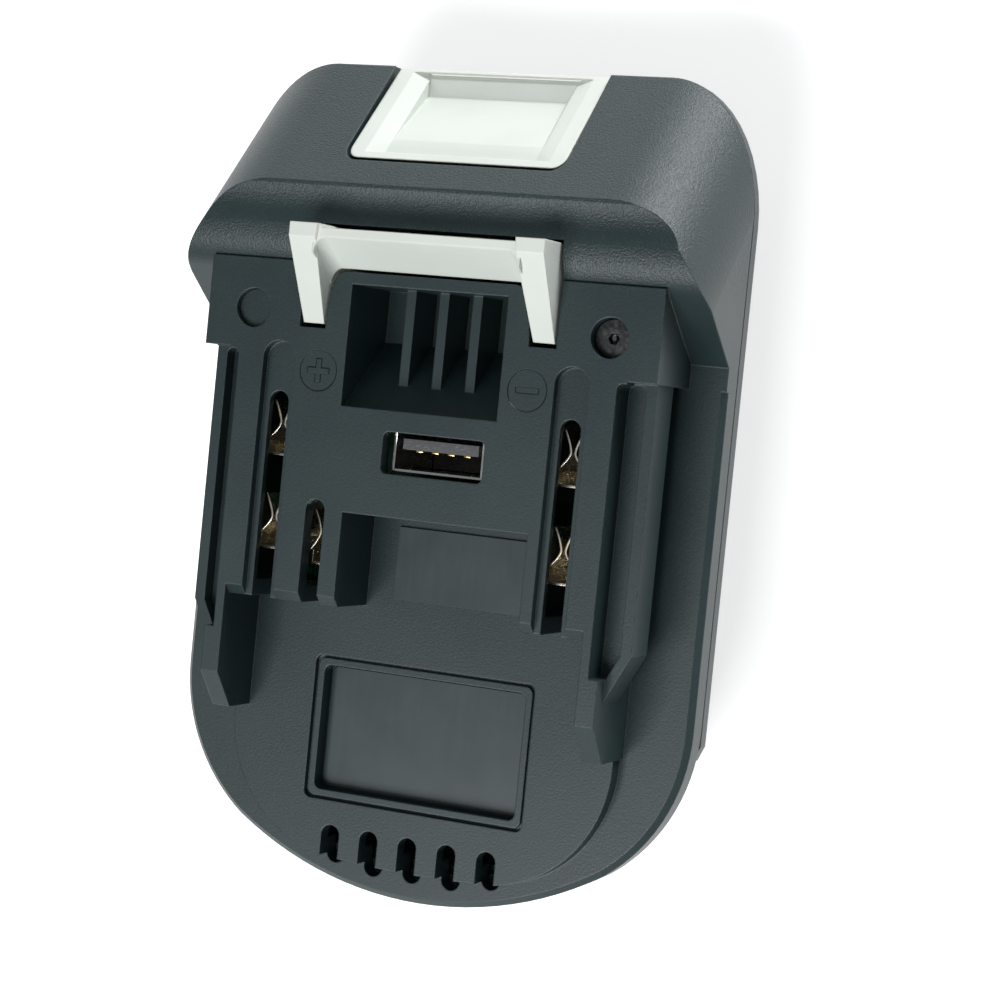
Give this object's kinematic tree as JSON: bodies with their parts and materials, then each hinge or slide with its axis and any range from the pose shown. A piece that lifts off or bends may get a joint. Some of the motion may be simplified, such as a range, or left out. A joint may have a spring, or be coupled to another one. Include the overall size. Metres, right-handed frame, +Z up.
{
  "type": "tool battery adapter",
  "caption": "Slide-on battery adapter for cordless tools: rail block with spring contacts and a sprung latch on top, charging socket, and a battery channel with blades underneath.",
  "frame": {"origin": "centre of the part's box in X and Y, at the underside that rests on a table", "axes": "+X to the right side, +Y to the button end, +Z up out of the rail deck"},
  "size_m": [0.075, 0.113, 0.0481],
  "materials": {
    "housing": "fine textured charcoal moulding",
    "latch": "smooth warm light grey moulding",
    "spring_steel": "drawn wire",
    "board": "green solder mask",
    "nickel": "nickel plated strip",
    "socket_steel": "bright tinned sheet",
    "insulator": "glass filled black plastic",
    "gilt_brass": "gold flashed strip",
    "ferrite": "sintered ferrite",
    "copper": "enamelled copper winding",
    "can": "drawn can",
    "chip": "moulded package",
    "plate_film": "bare black film",
    "screw_steel": "blackened steel"
  },
  "bodies": {
    "adapter": {"upper_housing": "housing", "lower_housing": "housing", "latch_springs": "spring_steel", "circuit_board": "board", "contact_positive_front": "nickel", "contact_positive_rear": "nickel", "contact_negative_front": "nickel", "contact_negative_rear": "nickel", "contact_signal": "nickel", "usb_shell": "socket_steel", "usb_tongue": "insulator", "usb_pins": "gilt_brass", "inductor_core": "ferrite", "inductor_coil": "copper", "capacitors": "can", "regulator_chip": "chip", "terminal_block": "insulator", "blade_positive": "nickel", "blade_negative": "nickel", "blade_sense_left": "nickel", "blade_sense_right": "nickel", "rating_plate": "plate_film", "usb_plate": "plate_film", "housing_screws": "screw_steel", "board_screws": "screw_steel", "screw_plug": "housing"},
    "latch": {"latch_button": "latch"}
  },
  "joints": [
    {"name": "latch_press", "type": "slide", "parent": "adapter", "child": "latch", "axis": [0, 0, -1], "range_m": [0, 0.006], "stiffness_N_per_m": 900, "springref_m": -0.003, "deforming": ["latch_springs"]}
  ]
}
